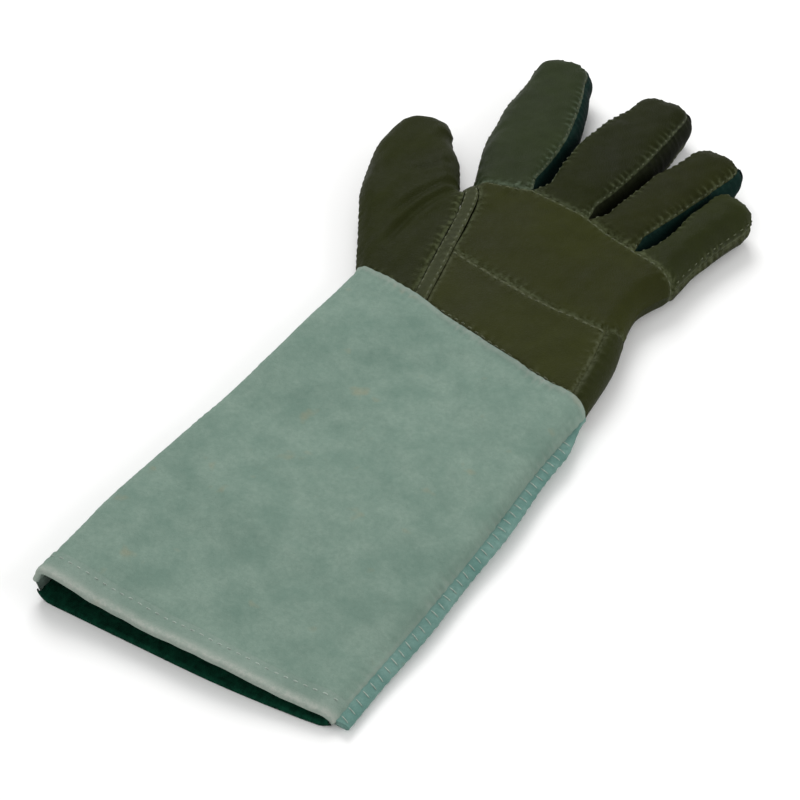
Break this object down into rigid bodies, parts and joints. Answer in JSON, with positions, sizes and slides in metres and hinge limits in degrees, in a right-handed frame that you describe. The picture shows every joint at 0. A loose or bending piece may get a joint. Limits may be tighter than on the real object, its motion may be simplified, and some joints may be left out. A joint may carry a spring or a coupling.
{
  "type": "beekeeping glove",
  "caption": "Left-hand beekeeping gauntlet: an olive leather hand with jointed fingers and thumb, sewn to a long pale suede cuff with a bound side seam and an open mouth.",
  "frame": {"origin": "on the flat back of the hand where the glove rests, under the middle of the palm", "axes": "+Y from the cuff to the fingertips, -X on the thumb side, +Z out of the palm"},
  "size_m": [0.2081, 0.4658, 0.0245],
  "materials": {
    "palm_leather": "supple dark olive grain leather, satin",
    "back_leather": "supple dark olive grain leather, satin",
    "index_leather": "slightly greyer olive grain leather, satin",
    "gusset_leather": "dark teal green leather, matt",
    "welt_leather": "olive leather, edges worn pale",
    "suede": "pale grey-green suede with a soft mottled nap",
    "binding": "pale teal suede, puckered by its stitches",
    "lining": "dark green brushed cotton",
    "thread": "thick pale olive sewing thread, matt"
  },
  "bodies": {
    "hand": {"thumb_ball_panel": "palm_leather", "thumb_welt": "welt_leather", "palm_panel": "palm_leather", "wrist_band_panel": "palm_leather", "side_strip": "palm_leather", "hand_back": "back_leather", "thumb_seam_stitching": "thread", "wrist_seam_stitching": "thread", "finger_seam_stitching": "thread"},
    "gauntlet": {"cuff_top_panel": "suede", "cuff_bottom_panel": "suede", "cuff_lining_top": "lining", "cuff_lining_bottom": "lining", "mouth_hem_top": "suede", "mouth_hem_bottom": "suede", "side_binding": "binding", "mouth_stitching": "thread", "side_stitching": "thread"},
    "index_base": {"index_front_base": "index_leather", "index_back_base": "back_leather", "index_fourchette_middle_side_base": "gusset_leather"},
    "index_tip": {"index_front_tip": "index_leather", "index_back_tip": "back_leather", "index_fourchette_middle_side_tip": "gusset_leather"},
    "middle_base": {"middle_front_base": "palm_leather", "middle_back_base": "back_leather", "middle_fourchette_index_side_base": "gusset_leather", "middle_fourchette_ring_side_base": "gusset_leather"},
    "middle_tip": {"middle_front_tip": "palm_leather", "middle_back_tip": "back_leather", "middle_fourchette_index_side_tip": "gusset_leather", "middle_fourchette_ring_side_tip": "gusset_leather"},
    "ring_base": {"ring_front_base": "palm_leather", "ring_back_base": "back_leather", "ring_fourchette_middle_side_base": "gusset_leather", "ring_fourchette_little_side_base": "gusset_leather"},
    "ring_tip": {"ring_front_tip": "palm_leather", "ring_back_tip": "back_leather", "ring_fourchette_middle_side_tip": "gusset_leather", "ring_fourchette_little_side_tip": "gusset_leather"},
    "little_base": {"little_front_base": "palm_leather", "little_back_base": "back_leather", "little_fourchette_ring_side_base": "gusset_leather"},
    "little_tip": {"little_front_tip": "palm_leather", "little_back_tip": "back_leather", "little_fourchette_ring_side_tip": "gusset_leather"},
    "thumb_base": {"thumb_front_base": "palm_leather", "thumb_back_base": "back_leather"},
    "thumb_tip": {"thumb_front_tip": "palm_leather", "thumb_back_tip": "back_leather"}
  },
  "joints": [
    {"name": "index_knuckle", "type": "hinge", "parent": "hand", "child": "index_base", "pos_m": [-0.04743, 0.0569, 0.024], "axis": [0.9763, 0.2164, 0], "range_deg": [-15, 65]},
    {"name": "index_middle_fold", "type": "hinge", "parent": "index_base", "child": "index_tip", "pos_m": [-0.0589, 0.10864, 0.024], "axis": [0.9763, 0.2164, 0], "range_deg": [0, 60]},
    {"name": "middle_knuckle", "type": "hinge", "parent": "hand", "child": "middle_base", "pos_m": [-0.01085, 0.05696, 0.024], "axis": [0.999, -0.0436, 0], "range_deg": [-15, 65]},
    {"name": "middle_middle_fold", "type": "hinge", "parent": "middle_base", "child": "middle_tip", "pos_m": [-0.00854, 0.10991, 0.024], "axis": [0.999, -0.0436, 0], "range_deg": [0, 60]},
    {"name": "ring_knuckle", "type": "hinge", "parent": "hand", "child": "ring_base", "pos_m": [0.02362, 0.04948, 0.024], "axis": [0.9848, -0.1736, 0], "range_deg": [-15, 65]},
    {"name": "ring_middle_fold", "type": "hinge", "parent": "ring_base", "child": "ring_tip", "pos_m": [0.03178, 0.09576, 0.024], "axis": [0.9848, -0.1736, 0], "range_deg": [0, 60]},
    {"name": "little_knuckle", "type": "hinge", "parent": "hand", "child": "little_base", "pos_m": [0.05399, 0.03918, 0.024], "axis": [0.9863, -0.165, 0], "range_deg": [-15, 65]},
    {"name": "little_middle_fold", "type": "hinge", "parent": "little_base", "child": "little_tip", "pos_m": [0.06026, 0.07666, 0.024], "axis": [0.9863, -0.165, 0], "range_deg": [0, 60]},
    {"name": "thumb_fold", "type": "hinge", "parent": "hand", "child": "thumb_base", "pos_m": [-0.08589, 0.02416, 0.024], "axis": [0.682, 0.7314, 0], "range_deg": [-10, 60]},
    {"name": "thumb_tip_fold", "type": "hinge", "parent": "thumb_base", "child": "thumb_tip", "pos_m": [-0.1011, 0.05679, 0.024], "axis": [0.9063, 0.4226, 0], "range_deg": [0, 55]},
    {"name": "wrist_fold", "type": "hinge", "parent": "hand", "child": "gauntlet", "pos_m": [-0.0025, -0.05, 0.024], "axis": [-0.9848, 0.1736, 0], "range_deg": [-45, 60]}
  ]
}
